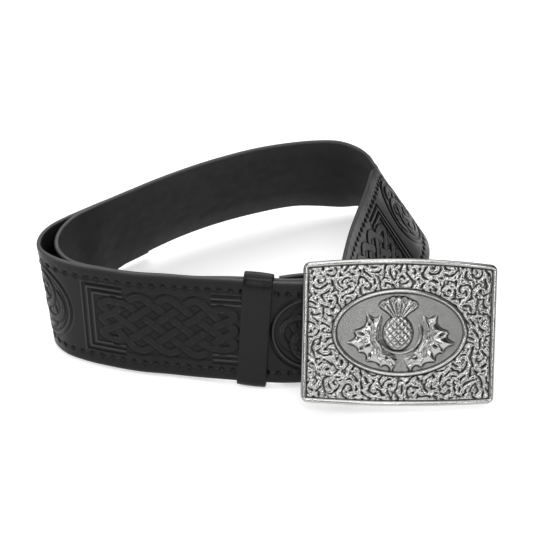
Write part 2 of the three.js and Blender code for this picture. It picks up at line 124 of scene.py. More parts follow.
# A ruling is one straight section of the strap: its lower end, then its upper end.
def rulingOf(row):
    footX, footY, lift, leanX, leanY, skew = row
    foot = np.array([
        (footX - 0.5) * strap["loopWidth"],
        (footY - 0.5) * strap["loopDepth"],
        lift * strap["frontLift"],
    ])
    up = np.array([leanX, leanY, math.sqrt(1 - leanX**2 - leanY**2)])
    return np.array([foot, foot + up * strap["width"] / math.cos(math.radians(skew))])


def frameAt(rulings, i):
    before = rulings[max(i - 1, 0)].mean(axis=0)
    after = rulings[min(i + 1, len(rulings) - 1)].mean(axis=0)
    up = unit(rulings[i][1] - rulings[i][0])
    out = unit(np.cross(up, after - before))
    return up, out, np.cross(out, up)


def offsetRuling(rulings, i, distance):
    return rulings[i] + frameAt(rulings, i)[1] * distance


front = [rulingOf(row) for row in frontRows]
back = [rulingOf(row) for row in backRows]
barUp, barOut, barAlong = frameAt(front, 0)
layerPitch = strap["thickness"] + strap["layerGap"]
shift = np.array(strap["shift"])

bail = {
    "wireRadius": 1.0,
    "clearance": 0.4,
    "inset": 3.3,
    "bend": 1.2,
    "spread": 0.78,
    "padRadius": 2.6,
    "padHeight": 1.4,
}


def fixedEnd():
    inner = [offsetRuling(front, i, -layerPitch) for i in range(innerRows)]
    for i, ruling in enumerate(inner):
        ruling[:, 2] -= strap["layerDrop"] * min(max((i - keeperPlace) / 2, 0), 1)
    turnRadius = bail["wireRadius"] + bail["clearance"] + strap["thickness"] / 2
    turn = []
    for degrees in (180, 150, 120, 90, 60, 30):
        angle = math.radians(degrees)
        turn.append(
            inner[0] - barAlong * math.sin(angle) * turnRadius
            + barOut * (math.cos(angle) - 1) * turnRadius
        )
    returned = []
    for step in (2, 1):
        spread = 0.5 * (2 - step) * (2 * turnRadius - layerPitch)
        outward = -layerPitch - 2 * strap["layerGap"] - spread
        returned.append(inner[0] + barAlong * step * strap["foldReturn"] + barOut * outward)
    return returned + turn + inner


def wholeStrap():
    tail = []
    for i in tailRows:
        _, _, lift, leanX, leanY, _ = backRows[i]
        drop = (1 - strap["tailLift"]) * lift * strap["frontLift"]
        outward = strap["thickness"] + strap["tailGap"] + drop * math.hypot(leanX, leanY)
        ruling = offsetRuling(back, i, outward)
        ruling[:, 2] -= drop
        tail.append(ruling)
    bend = [rulingOf(row) for row in bendRows]
    right = [rulingOf(row) for row in rightRows]
    outerBend = [rulingOf(row) for row in outerBendRows]
    return fixedEnd() + bend + back + right + front + outerBend + tail


# Smooth curve through points that are unevenly spaced.
def curveThrough(points, steps):
    padded = np.vstack([2 * points[0] - points[1], points, 2 * points[-1] - points[-2]])
    shares = np.arange(steps)[:, None] / steps
    found = []
    for i in range(len(points) - 1):
        a, b, c, d = padded[i:i + 4]
        before, here, after = [math.sqrt(np.linalg.norm(q - p)) for p, q in ((a, b), (b, c), (c, d))]
        leave = ((b - a) / before - (c - a) / (before + here) + (c - b) / here) * here
        arrive = ((c - b) / here - (d - b) / (here + after) + (d - c) / after) * here
        square, cube = shares**2, shares**3
        found.append(
            b + leave * shares + (3 * (c - b) - 2 * leave - arrive) * square
            + (2 * (b - c) + leave + arrive) * cube
        )
    return np.vstack(found + [points[-1:]])


rulings = np.array(wholeStrap()) + shift
feet = curveThrough(rulings[:, 0], curveSteps)
heads = curveThrough(rulings[:, 1], curveSteps)
middles = (feet + heads) / 2
arcs = np.concatenate([[0], np.cumsum(np.linalg.norm(np.diff(middles, axis=0), axis=1))])
outs = unit(np.cross(heads - feet, np.gradient(middles, axis=0)))
rowArcs = arcs[::curveSteps]  # arc length at each section of the tables
print("strap length", round(arcs[-1], 1))


def stationAt(arc):
    picked = [
        np.stack([np.interp(arc, arcs, line[:, k]) for k in range(3)], axis=-1)
        for line in (feet, heads, outs)
    ]
    return picked[0], picked[1], unit(picked[2])


firstFront = foldRows + innerRows + len(bendRows) + len(backRows) + len(rightRows)
marks = {
    "innerKeeper": rowArcs[foldRows + keeperPlace],
    "keeper": rowArcs[firstFront + keeperPlace],
    "tip": arcs[-1],
}
print({name: round(float(value), 1) for name, value in marks.items()})


# Interlace pressed into the strap's outer face: a plaited panel, then a ringed knot, again and again.
interlace = {
    "pitch": 143.0,
    "panelMiddle": 636.8,  # arc length at the middle of the front panel
    "panelLength": 85.5,
    "panelFoot": 9.3,
    "panelHead": 47.7,
    "panelReach": 20.3,  # heights each way from the strap's middle where its depth is worked out
    "ringReach": 22.5,
    "frameLines": (0.0, 3.1, 6.1),  # in from the panel's outline
    "loopSpan": 22.0,  # the plait's loops take the place of the frame here, each way from the middle
    "crossings": 10,
    "strands": 6,
    "crossingLength": 7.05,
    "crossingHeight": 5.6,
    "endHeight": 0.72,  # share of the plait's height that is left beside the frame's corners
    "bandHalf": 2.0,
    "ringRadius": 21.0,
    "innerRing": 18.2,
    "knotReach": 9.6,
    "knotSwing": 5.6,
    "knotHalf": 1.5,
    "ground": 0.3,  # depth beside the bands
    "groove": 0.7,
    "grooveWidth": 0.48,
    "lip": 0.26,  # raised edge of a band beside its groove
    "lipWidth": 0.4,
}


def closedAverage(points, reach):
    total = np.zeros_like(points)
    for step in range(-reach, reach + 1):
        total += np.roll(points, step, axis=0)
    return total / (2 * reach + 1)


# Middle line of the plait's endless strand, with the height at which it passes itself.
def plaitLines():
    across, along = interlace["strands"], interlace["crossings"]
    travel = np.arange(0, math.lcm(2 * across, 2 * along), 0.05)
    x = along - np.abs((travel + 1) % (2 * along) - along)
    y = across - np.abs(travel % (2 * across) - across)
    rising = np.sign(np.roll(x, -1) - x) * np.sign(np.roll(y, -1) - y)
    wall = np.clip(np.minimum(np.minimum(x, along - x), np.minimum(y, across - y)) / 0.6, 0, 1)
    over = np.cos(np.pi * x) * np.where(rising > 0, 1, -1) * wall
    path = closedAverage(np.stack([x, y], axis=-1), 9)
    path[:, 0] = (path[:, 0] - along / 2) * interlace["crossingLength"]
    low = 1 - (1 - interlace["endHeight"]) * smooth(-4, 6, np.abs(path[:, 0]) - interlace["loopSpan"])
    path[:, 1] = strap["width"] / 2 + (path[:, 1] - across / 2) * interlace["crossingHeight"] * low
    return np.column_stack([path, over])


def knotLine():
    turn = np.arange(0, 6 * math.pi, 0.03)
    reach = interlace["knotReach"] + interlace["knotSwing"] * np.cos(turn * 4 / 3)
    line = np.stack([reach * np.cos(turn), strap["width"] / 2 + reach * np.sin(turn)], axis=-1)
    return np.column_stack([line, np.sin(turn * 4 / 3)])


def nearest(places, line):
    found = np.full(len(places), 1e3)
    which = np.zeros(len(places), dtype=int)
    for start in range(0, len(places), 4000):
        part = places[start:start + 4000]
        away = np.hypot(part[:, None, 0] - line[None, :, 0], part[:, None, 1] - line[None, :, 1])
        which[start:start + 4000] = away.argmin(axis=1)
        found[start:start + 4000] = away.min(axis=1)
    return found, line[which, 2]


def grooveDepth(distance):
    return interlace["groove"] * np.exp(-(distance / interlace["grooveWidth"])**2)


# Height of the lip on a groove's near side, as a negative depth.
def lipDepth(distance):
    beside = distance + interlace["grooveWidth"] + interlace["lipWidth"] * 1.2
    return -interlace["lip"] * np.exp(-(beside / interlace["lipWidth"])**2)


# Depth beside interlaced bands, the upper band's outline crossing the lower one.
def bandDepth(places, line, half):
    overAway, overHeight = nearest(places, line[line[:, 2] > 0])
    underAway, _ = nearest(places, line[line[:, 2] <= 0])
    away = np.minimum(overAway, underAway)
    edge = away - half - interlace["grooveWidth"]
    depth = np.maximum(grooveDepth(edge), interlace["ground"] * smooth(-0.4, 0.3, edge)) + lipDepth(edge)
    crossing = grooveDepth(overAway - half - interlace["grooveWidth"]) * smooth(0.15, 0.45, overHeight)
    return np.where(overAway < half * 0.6, depth, np.maximum(depth, crossing)), away


def panelDepth(places, line):
    depth, away = bandDepth(places, line, interlace["bandHalf"])
    reach = interlace["panelLength"] / 2
    inLong = reach - np.abs(places[:, 0])
    inWide = np.minimum(places[:, 1] - interlace["panelFoot"], interlace["panelHead"] - places[:, 1])
    inside = np.minimum(inLong, inWide)
    framed = np.zeros(len(places))
    for offset in interlace["frameLines"]:
        framed = framed + grooveDepth(inside - offset) + lipDepth(inside - offset)
    loops = np.abs(places[:, 0]) < interlace["loopSpan"]
    framed = np.where(loops & (inWide < inLong), 0, framed)
    nearBand = away < interlace["bandHalf"] + 0.8
    inner = inside > interlace["frameLines"][-1] - 0.3
    middle = loops & (inWide > 1.5)
    return np.where(nearBand | inner | middle, depth, framed)


def ringDepth(places, line):
    depth, away = bandDepth(places, line, interlace["knotHalf"])
    radius = np.hypot(places[:, 0], places[:, 1] - strap["width"] / 2)
    rings = np.maximum(
        grooveDepth((radius - interlace["ringRadius"]) * 0.8),
        grooveDepth(radius - interlace["innerRing"]),
    ) + lipDepth(interlace["innerRing"] - radius)
    return np.where(radius < interlace["innerRing"] - 0.6, depth, rings)


stitching = {
    "inset": 6.2,
    "pitch": 5.6,
    "length": 3.7,
    "threadRadius": 0.36,
    "channelDepth": 0.22,
    "holeRadius": 1.5,
    "holeDepth": 1.1,
}


def stitchRows(arc, height):
    fromRow = np.minimum(
        np.abs(height - stitching["inset"]),
        np.abs(height - strap["width"] + stitching["inset"]),
    )
    phase = (arc / stitching["pitch"]) % 1
    fromHole = np.minimum(phase, 1 - phase) * stitching["pitch"]
    return fromRow, np.hypot(fromRow, fromHole)


def faceDepth(arc, height):
    plait, knot = plaitLines(), knotLine()
    depth = np.zeros(len(arc))
    along, pitch = arc - interlace["panelMiddle"], interlace["pitch"]
    alongPanel = (along + pitch / 2) % pitch - pitch / 2
    alongRing = along % pitch - pitch / 2
    offMiddle = np.abs(height - strap["width"] / 2)
    inPanel = (np.abs(alongPanel) < interlace["panelLength"] / 2 + 1) & (offMiddle < interlace["panelReach"])
    inRing = (np.abs(alongRing) < interlace["ringRadius"] + 1) & (offMiddle < interlace["ringReach"])
    depth[inPanel] = panelDepth(np.stack([alongPanel[inPanel], height[inPanel]], axis=-1), plait)
    depth[inRing] = ringDepth(np.stack([alongRing[inRing], height[inRing]], axis=-1), knot)
    fromRow, fromHole = stitchRows(arc, height)
    channel = stitching["channelDepth"] * np.exp(-(fromRow / 0.6)**2)
    hole = stitching["holeDepth"] * smooth(stitching["holeRadius"], 0.75, fromHole)
    # The last value masks the painted shade in the stitch holes.
    return depth, np.maximum(channel, hole), smooth(1.0, 0.3, fromHole)


# Rounded corner of the strap's section. side is 1 at the outer face and -1 at the inner one.
def cornerTurn(side, end, angles):
    half, radius = strap["thickness"] / 2, strap["edgeRadius"]
    turn = []
    for angle in angles:
        across = half - radius * (1 - math.cos(angle))
        turn.append((side * across, abs(end - radius * (1 - math.sin(angle))), 0))
    return turn


# One turn round the strap's section: up the outer face, over the edge, down the inner face and back.
def sectionTurn():
    half, radius, width = strap["thickness"] / 2, strap["edgeRadius"], strap["width"]
    margin = [radius, 2.0, 3.4, 4.6, 5.2, 5.6, 5.95, 6.2, 6.45, 6.8, 7.2, 7.9, 8.6]
    pressed = list(np.linspace(9.1, width / 2, 40))
    lower = margin + pressed
    outer = lower + [width - height for height in reversed(lower[:-1])]
    inner = [width - radius, width * 0.75, width * 0.5, width * 0.25, radius]
    corners = [math.radians(angle) for angle in (22, 45, 68, 90)]
    turn = [(half, height, 1) for height in outer]
    turn += cornerTurn(1, width, corners) + cornerTurn(-1, width, corners[::-1])
    turn += [(-half, height, 0) for height in inner]
    turn += cornerTurn(-1, 0, corners) + cornerTurn(1, 0, corners[::-1])
    return np.array(turn)


def meshObject(name, bm):
    mesh = bpy.data.meshes.new(name)
    bm.to_mesh(mesh)
    bm.free()
    obj = bpy.data.objects.new(name, mesh)
    bpy.context.scene.collection.objects.link(obj)
    return obj


# Place of each vertex in a new grid, counted across and along.
def gridOrder(bm, across, along):
    order = np.array([vertex.co[:2] for vertex in bm.verts])
    return np.rint((order + 1) / 2 * (across, along)).astype(int).T


# A grid whose rows follow a path and whose columns go once round a section, welded into a tube.
def tubeMesh(places, capEnds, closedPath=False):
    rows, columns = places.shape[:2]
    bm = bmesh.new()
    rowCount = rows if closedPath else rows - 1
    bmesh.ops.create_grid(bm, x_segments=rowCount, y_segments=columns, size=1)
    layerRow = bm.verts.layers.int.new("row")
    layerColumn = bm.verts.layers.int.new("column")
    rowOf, columnOf = gridOrder(bm, rowCount, columns)
    rowOf, columnOf = rowOf % (rowCount if closedPath else rows), columnOf % columns
    seam = []
    for vertex, row, column in zip(bm.verts, rowOf, columnOf):
        vertex.co = places[row, column]
        vertex[layerRow] = int(row)
        vertex[layerColumn] = int(column)
        if column == 0 or (closedPath and row == 0):
            seam.append(vertex)
    bmesh.ops.remove_doubles(bm, verts=seam, dist=1e-6)
    if capEnds:
        ends = [edge for edge in bm.edges if edge.is_boundary]
        for row in (0, rows - 1):
            rim = [edge for edge in ends if all(vertex[layerRow] == row for vertex in edge.verts)]
            bmesh.ops.contextual_create(bm, geom=rim)
    bmesh.ops.recalc_face_normals(bm, faces=bm.faces)
    for face in bm.faces:
        face.smooth = len(face.verts) == 4
    return bm


def vertexOrder(obj):
    count = len(obj.data.vertices)
    row, column = np.zeros(count, dtype=np.int32), np.zeros(count, dtype=np.int32)
    obj.data.attributes["row"].data.foreach_get("value", row)
    obj.data.attributes["column"].data.foreach_get("value", column)
    return row, column


def setAttribute(obj, name, values):
    attribute = obj.data.attributes.new(name, "FLOAT", "POINT")
    attribute.data.foreach_set("value", np.asarray(values, dtype=np.float32))


def stationArcs(zones):
    arcsFound = [zones[0][0]]
    for start, end, pitch in zones:
        count = max(int(round((end - start) / pitch)), 1)
        arcsFound += list(np.linspace(start, end, count + 1)[1:])
    return np.array(arcsFound)


def strapPiece(name, zones, pressed=True):
    stations = stationArcs(zones)
    turn = sectionTurn()
    foot, head, out = stationAt(stations)
    rise = (head - foot) / strap["width"]
    arc = np.repeat(stations, len(turn))
    height = np.tile(turn[:, 1], len(stations))
    onFace = np.tile(turn[:, 2], len(stations)) > 0
    relief, sewn, hole = np.zeros(len(arc)), np.zeros(len(arc)), np.zeros(len(arc))
    if pressed:
        relief[onFace], sewn[onFace], hole[onFace] = faceDepth(arc[onFace], height[onFace])
    grid = (len(stations), len(turn))
    depth = np.where(sewn > 0.02, np.maximum(relief, sewn), relief).reshape(grid)
    places = (
        foot[:, None, :] + rise[:, None, :] * turn[None, :, 1:2]
        + out[:, None, :] * (turn[None, :, 0:1] - depth[:, :, None])
    ) * mm
    obj = meshObject(name, tubeMesh(places, True))
    row, column = vertexOrder(obj)
    # The edges get a lighter colour: partly the burnished edge's own tone, partly a painted highlight.
    edge = smooth(1.0, 0.25, np.minimum(turn[:, 1], strap["width"] - turn[:, 1]))
    setAttribute(obj, "edge", edge[column])
    setAttribute(obj, "relief", (relief.reshape(grid) / interlace["groove"])[row, column])
    # Mask of the painted shade in the stitch holes.
    setAttribute(obj, "hole", hole.reshape(grid)[row, column])
    # Mask of the inner face, which gets a painted shade colour and more roughness.
    setAttribute(obj, "inner", (turn[:, 0] < -strap["thickness"] * 0.45).astype(float)[column])
    for spent in ("row", "column"):
        obj.data.attributes.remove(obj.data.attributes[spent])
    return obj


# Arc lengths at which the stations' pitch changes: finer where the fold turns and where the face shows.
changes = {"foldTurn": 12, "foldEnd": 30, "innerBend": 186, "backRun": 367, "rightBend": 538, "leftBend": 746}
strapFront = strapPiece("strapFront", [
    (marks["keeper"], changes["leftBend"], 0.5),
    (changes["leftBend"], marks["tip"], 0.8),
])
print("strap front", len(strapFront.data.polygons))
strapBack = strapPiece("strapBack", [
    (marks["innerKeeper"], changes["innerBend"], 2.5),
    (changes["innerBend"], changes["backRun"], 0.8),
    (changes["backRun"], changes["rightBend"], 0.58),
    (changes["rightBend"], marks["keeper"], 0.5),
])
print("strap back", len(strapBack.data.polygons))
strapFold = strapPiece("strapFold", [
    (0, changes["foldTurn"], 1.5),
    (changes["foldTurn"], changes["foldEnd"], 0.5),
    (changes["foldEnd"], marks["innerKeeper"], 2),
], False)
for obj in (strapFront, strapBack, strapFold):
    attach(obj, "root")
    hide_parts("strap")


# Stitches: one short bead of thread between each two holes, both rows.
def stitchMesh():
    bm = bmesh.new()
    count = int(arcs[-1] / stitching["pitch"])
    half, radius = stitching["length"] / 2, stitching["threadRadius"]
    for height in (stitching["inset"], strap["width"] - stitching["inset"]):
        middle = (np.arange(12, count) + 0.5) * stitching["pitch"]
        foot, head, out = stationAt(middle)
        footEnd, headEnd, _ = stationAt(middle + half * 0.9)
        up = (head - foot) / strap["width"]
        centre = foot + up * height + out * (strap["thickness"] / 2 - radius * 0.55)
        along = footEnd + (headEnd - footEnd) / strap["width"] * height - (foot + up * height)
        across = unit(np.cross(out, along)) * radius
        for place, run, side, rise in zip(centre, along, across, out * radius * 0.8):
            bead = Matrix((np.column_stack([side, rise, run, place]) * mm).tolist()).to_4x4()
            bmesh.ops.create_uvsphere(bm, u_segments=6, v_segments=5, radius=1, matrix=bead)
    bmesh.ops.recalc_face_normals(bm, faces=bm.faces)
    return bm


stitches = meshObject("stitches", stitchMesh())
stitches.data.shade_smooth()
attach(stitches, "root")
print("stitches", len(stitches.data.polygons))

keeper = {
    "width": 14.5,
    "thickness": 1.6,
    "clearance": 0.4,
    "endClearance": 1.2,
    "cornerRadius": 3.4,
    "shoulder": (5.0, 9.5),  # depth and height of the rounding at the front's top
    "hem": (3.4, 4.2),  # and at its bottom
    "edgeRadius": 0.65,
    "tilt": -4.6,
    "crown": 0.25,
}


# Round the band's path: distances out of the strap's face and along its width.
def keeperPath():
    inside = strap["thickness"] / 2 + layerPitch + keeper["clearance"]
    outside = strap["thickness"] / 2 + keeper["clearance"]
    reach = strap["width"] / 2 + keeper["endClearance"]
    wall, radius = keeper["thickness"], keeper["cornerRadius"]
    back, face, end = -inside - wall, outside + wall, reach + wall
    corners = (
        (face, *keeper["shoulder"], 0), (back, radius, radius, 90),
        (back, radius, radius, 180), (face, *keeper["hem"], 270),
    )
    points = []
    for edge, deep, tall, first in corners:
        across = edge - deep if edge > 0 else edge + deep
        along = (end - tall) * (1 if first < 180 else -1)
        for angle in np.radians(np.linspace(first, first + 90, 13)):
            points.append((across + math.cos(angle) * deep, along + math.sin(angle) * tall))
        if first in (90, 270):
            x, y = points[-1]
            ahead = radius - end if first == 90 else end - keeper["shoulder"][1]
            points.extend((x, y + (ahead - y) * step) for step in np.linspace(0, 1, 14)[1:-1])
    return np.array(points)


def keeperTube():
    path = keeperPath()
    tangent = unit(np.roll(path, -1, axis=0) - np.roll(path, 1, axis=0))
    normal = np.stack([tangent[:, 1], -tangent[:, 0]], axis=-1)
    half, wall, radius = keeper["width"] / 2, keeper["thickness"], keeper["edgeRadius"]
    crownDrop = keeper["crown"]
    section = [(share * (half - radius), -crownDrop * share**2) for share in np.linspace(-1, 1, 9)]
    # side, height that the corner starts from, way of its rounding, degrees
    for side, root, way, degrees in (
        (1, -crownDrop, -1, (30, 60, 90)), (1, -wall, 0.6, (60, 30, 0)),
        (-1, -wall, 0.6, (0, 30, 60, 90)), (-1, -crownDrop, -1, (60, 30)),
    ):
        for angle in np.radians(degrees):
            across = half - radius + radius * math.sin(angle)
            section.append((side * across, root + way * radius * (1 - math.cos(angle))))
    section = np.array(section)
    up, out, along = frameAt(front, keeperPlace)
    basis = np.array([out, up, np.cross(out, up)]).T
    tilt = np.array(Matrix.Rotation(math.radians(keeper["tilt"]), 3, "X"))
    turned = basis @ tilt
    flat = path[:, None, :] + normal[:, None, :] * section[None, :, 1:2]
    local = np.concatenate([flat, np.broadcast_to(section[None, :, 0:1], flat.shape[:2] + (1,))], axis=2)
    places = local @ turned.T + front[keeperPlace].mean(axis=0) + shift
    return tubeMesh(places * mm, False, True)


keeperBand = meshObject("keeperBand", keeperTube())
keeperBand.data.shade_smooth()
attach(keeperBand, "root")
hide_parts("keeper")
print("keeper", len(keeperBand.data.polygons))


# Buckle plate in its own frame: u to the right, v up, w out of its face.
plate = {
    "width": 93.5,
    "height": 71,
    "thickness": 2,
    "bow": 4,
    "topArch": 3,
    "bottomArch": 1,
    "cornerRadius": 3,
    "rimWidth": 2.3,
    "rimRise": 1.15,
    "lean": 24,
    "yaw": 3,
    "roll": 2.6,
    "centre": (66.074, -89.598, 39.776),
    "columns": 344,
    "rows": 262,
}
turned = np.array(
    Matrix.Rotation(math.radians(plate["yaw"]), 3, "Z")
    @ Matrix.Rotation(math.radians(plate["roll"]), 3, "Y")
    @ Matrix.Rotation(math.radians(90 - plate["lean"]), 3, "X")
)
plateCentre = np.array(plate["centre"])
halfU, halfV = plate["width"] / 2, plate["height"] / 2


def bowBack(u):
    return -plate["bow"] * (u / halfU)**2


def cornerDrop(u):
    radius = plate["cornerRadius"]
    into = np.clip(np.abs(u) - (halfU - radius), 0, radius)
    return radius - np.sqrt(np.maximum(radius**2 - into**2, 0))


def topEdge(u):
    return halfV - plate["topArch"] * (u / halfU)**2 - cornerDrop(u)


def bottomEdge(u):
    return plate["bottomArch"] * (u / halfU)**2 - halfV + cornerDrop(u)


oval = {"halfU": 32.5, "halfV": 21.0, "band": 1.7, "rise": 1.35, "fieldPatina": 0.42}
thistle = {
    "ball": (-1.2, -0.2),
    "ballHalfU": 7.1,
    "ballHalfV": 8.2,
    "ballRise": 2.6,
    "leafRise": 1.35,
}

# Right leaf: tips, the bays between them, and its inner edge along the collar. The left leaf mirrors it.
leafTips = [
    (10.6, 9.8), (18.3, 10.0), (24.0, 0.4), (27.6, -5.2),
    (21.8, -9.8), (17.3, -14.2), (10.5, -17.0), (5.3, -18.8),
]
leafBays = [
    (13.0, 5.0), (15.9, 2.9), (20.8, -2.8), (20.4, -7.2),
    (16.6, -9.4), (12.0, -13.6), (7.4, -14.2), (2.6, -14.4),
]
leafInner = [(1.6, -12.6), (5.6, -10.6), (8.7, -7.4), (10.6, -3.0), (11.2, 1.2), (10.2, 5.2)]
leafRidge = [(11.4, 7.4), (13.0, 2.8), (13.4, -3.0), (10.6, -6.8), (10.2, -10.2), (7.0, -11.4), (3.6, -13.6)]
leafFolds = [
    [(13.2, 2.6), (15.2, 5.2), (18.0, 9.2)], [(13.4, 0.4), (17.6, 1.4), (23.4, 0.3)],
    [(13.4, -2.6), (19.4, -4.4), (27.0, -5.2)], [(11.8, -5.2), (16.6, -7.2), (21.2, -9.6)],
    [(10.4, -8.4), (14.2, -10.8), (17.0, -13.8)], [(9.6, -10.8), (10.6, -13.8), (10.4, -16.6)],
    [(5.6, -12.4), (5.2, -15.4), (5.2, -18.4)],
]
leafCurls = [((20.2, -0.6), 2.3, 1.1, 20), ((6.8, -11.4), 2.2, 1.3, -35), ((16.8, -6.2), 1.9, 0.9, -30)]

foliage = {
    "seed": 23,
    "rise": 1.0,
    "finest": 2.0,  # breadth of a leaf and its groove
    "coarsest": 4.6,
    "scroll": 9.6,  # spacing of the scrolls that the leaves curl round
    "curl": 62,
    "leafLength": 5.4,
}


def waveRates(shape, step):
    return np.hypot(np.fft.fftfreq(shape[0], step)[:, None], np.fft.fftfreq(shape[1], step)[None, :])


# Noise whose features lie between two breadths, the same each run.
def banded(shape, step, finest, coarsest, seed):
    noise = np.random.default_rng(seed).standard_normal(shape)
    middle, spread = (1 / finest + 1 / coarsest) / 2, (1 / finest - 1 / coarsest) / 2
    kept = np.exp(-((waveRates(shape, step) - middle) / spread)**2)
    field = np.real(np.fft.ifft2(np.fft.fft2(noise) * kept))
    return field / field.std()


def blurred(field, step, breadth):
    kept = np.exp(-2 * (math.pi * breadth * waveRates(field.shape, step))**2)
    return np.real(np.fft.ifft2(np.fft.fft2(field) * kept))


def segmentDistance(u, v, start, end):
    du, dv = end[0] - start[0], end[1] - start[1]
    share = np.clip(((u - start[0]) * du + (v - start[1]) * dv) / (du * du + dv * dv), 0, 1)
    return np.hypot(u - start[0] - share * du, v - start[1] - share * dv)


# Distance to a closed outline, positive inside.
def insideDistance(u, v, outline):
    away = np.full(u.shape, 1e3)
    inside = np.zeros(u.shape, dtype=bool)
    for a, b in zip(outline, outline[1:] + outline[:1]):
        away = np.minimum(away, segmentDistance(u, v, a, b))
        crosses = (a[1] > v) != (b[1] > v)
        reach = a[0] + (v - a[1]) / (b[1] - a[1] + 1e-9) * (b[0] - a[0])
        inside ^= crosses & (u < reach)
    return np.where(inside, away, -away)


def sampled(field, row, column):
    row = np.clip(row, 0, field.shape[0] - 1.001)
    column = np.clip(column, 0, field.shape[1] - 1.001)
    i, j = row.astype(int), column.astype(int)
    y, x = row - i, column - j
    low = field[i, j] * (1 - x) + field[i, j + 1] * x
    high = field[i + 1, j] * (1 - x) + field[i + 1, j + 1] * x
    return low * (1 - y) + high * y


# Direction of the leaves: each scroll draws them round its own centre, by turns to the left and to the right.
def scrollFlow(u, v):
    draw = np.random.default_rng(foliage["seed"] + 1)
    spacing = foliage["scroll"]
    flowU, flowV = np.full(u.shape, 1e-4), np.zeros(u.shape)
    for i, centreU in enumerate(np.arange(-halfU, halfU + spacing, spacing)):
        for j, centreV in enumerate(np.arange(-halfV, halfV + spacing, spacing)):
            shiftU, shiftV, tilt = draw.uniform(-0.35, 0.35, 3)
            du, dv = u - centreU - (shiftU + 0.5 * (j % 2)) * spacing, v - centreV - shiftV * spacing
            turn = math.radians(foliage["curl"] + 30 * tilt) * (1 if (i + j) % 2 else -1)
            near = np.exp(-(np.hypot(du, dv) / (0.5 * spacing))**2) / (np.hypot(du, dv) + 0.4)
            flowU += near * (du * math.cos(turn) - dv * math.sin(turn))
            flowV += near * (du * math.sin(turn) + dv * math.cos(turn))
    length = np.hypot(flowU, flowV) + 1e-9
    return flowU / length, flowV / length


# Leaves drawn out along that flow.
def foliageHeight(u, v, step):
    shape, seed = u.shape, foliage["seed"]
    alongU, alongV = scrollFlow(u, v)
    leaves = banded(shape, step, foliage["finest"], foliage["coarsest"], seed)
    row, column = np.indices(shape, dtype=float)
    drawn = leaves.copy()
    count = int(foliage["leafLength"] / step / 2)
    for way in (2, -2):
        i, j = row.copy(), column.copy()
        for move in range(1, count // 2):
            stepU, stepV = sampled(alongU, i, j), sampled(alongV, i, j)
            i, j = i + way * stepV, j + way * stepU
            drawn += sampled(leaves, i, j) * math.cos(math.pi * move / count)
    drawn = drawn / drawn.std() + 0.2 * banded(shape, step, 1.6, 2.6, seed + 5)
    body = smooth(-0.6, -0.1, drawn)
    lip = np.exp(-((drawn - 0.1) / 0.4)**2)
    vein = np.exp(-((drawn - 1.35) / 0.3)**2)
    raised = foliage["rise"] * (0.76 * body + 0.24 * lip - 0.22 * vein)
    return blurred(raised, step, 0.17)


# Holly-like outline: each side of a tip is hollow, and each bay is round.
def leafOutline():
    points = []
    for tip, bay, following in zip(leafTips, leafBays, leafTips[1:] + [leafInner[0]]):
        tip, bay, following = np.array(tip), np.array(bay), np.array(following)
        for share in np.linspace(0, 1, 9)[:-1]:
            control = bay * 1.25 - (tip + following) * 0.125
            bend = control * 2 * share * (1 - share)
            points.append(tuple(tip * (1 - share)**2 + bend + following * share**2))
    return points + leafInner


def lineDistance(u, v, points):
    away = np.full(u.shape, 1e3)
    for a, b in zip(points, points[1:]):
        away = np.minimum(away, segmentDistance(u, v, a, b))
    return away


def leafHeight(u, v):
    edge = insideDistance(u, v, leafOutline())
    ridge = lineDistance(u, v, leafRidge)
    fold = np.full(u.shape, 1e3)
    for points in leafFolds:
        fold = np.minimum(fold, lineDistance(u, v, points))
    share = edge / (edge + np.minimum(fold, 3) + 0.2)
    body = 0.8 * smooth(0, 0.35, edge) + 0.8 * smooth(0, 1, share) + 0.2 * smooth(0, 3, edge)
    beside = smooth(1.5, 0.7, np.abs(ridge - 1.2))
    shaped = thistle["leafRise"] * body / 1.35 + 0.6 * np.exp(-(ridge / 0.6)**2) - 0.45 * beside
    for (curlU, curlV), long, wide, degrees in leafCurls:
        cos, sin = math.cos(math.radians(degrees)), math.sin(math.radians(degrees))
        a, b = (u - curlU) * cos + (v - curlV) * sin, (v - curlV) * cos - (u - curlU) * sin
        ringAt = (np.hypot(a / long, b / wide) - 1) * wide
        shaped = shaped + 0.4 * np.exp(-(ringAt / 0.35)**2) - 0.6 * smooth(0.1, -0.4, ringAt)
    return np.where(edge > 0, np.maximum(shaped, 0.25), 0), edge


crown = {
    "origin": (-1.15, 2.8),
    "reach": 13.9,
    "spread": 43,
    "grooves": (-43, -30, -19, -7, 7, 19, 30, 43),
    "curls": (-34, -12, 12, 34),
    "curlReach": 13.1,
}


def crownHeight(u, v):
    du, dv = u - crown["origin"][0], v - crown["origin"][1]
    angle, reach = np.degrees(np.arctan2(du, dv)), np.hypot(du, dv)
    flare = crown["spread"] - 9 * smooth(13, 5, reach)
    bent = angle / flare * crown["spread"]
    groove = np.full(u.shape, 1e3)
    for at in crown["grooves"]:
        groove = np.minimum(groove, np.abs(bent - at) * reach * math.pi / 180)
    tip = crown["reach"] + 0.7 * np.cos(np.radians(bent) * 15.6)
    edge = np.minimum(tip - reach, (crown["spread"] - np.abs(bent)) * reach * math.pi / 180)
    shape = 1.25 * smooth(-0.05, 0.55, edge) + 0.25 * smooth(8, 13, reach)
    shape -= 0.9 * np.exp(-(groove / 0.32)**2) * smooth(0.1, 0.5, edge)
    for at in crown["curls"]:
        turn, curlReach = math.radians(at), crown["curlReach"]
        away = np.hypot(du - curlReach * math.sin(turn), dv - curlReach * math.cos(turn))
        curl = (1.7 - 1.1 * np.exp(-((away - 0.75) / 0.3)**2)) * smooth(1.7, 1.35, away)
        shape = np.where(away < 1.6, curl, shape)
        edge = np.maximum(edge, 1.6 - away)
    return shape, edge


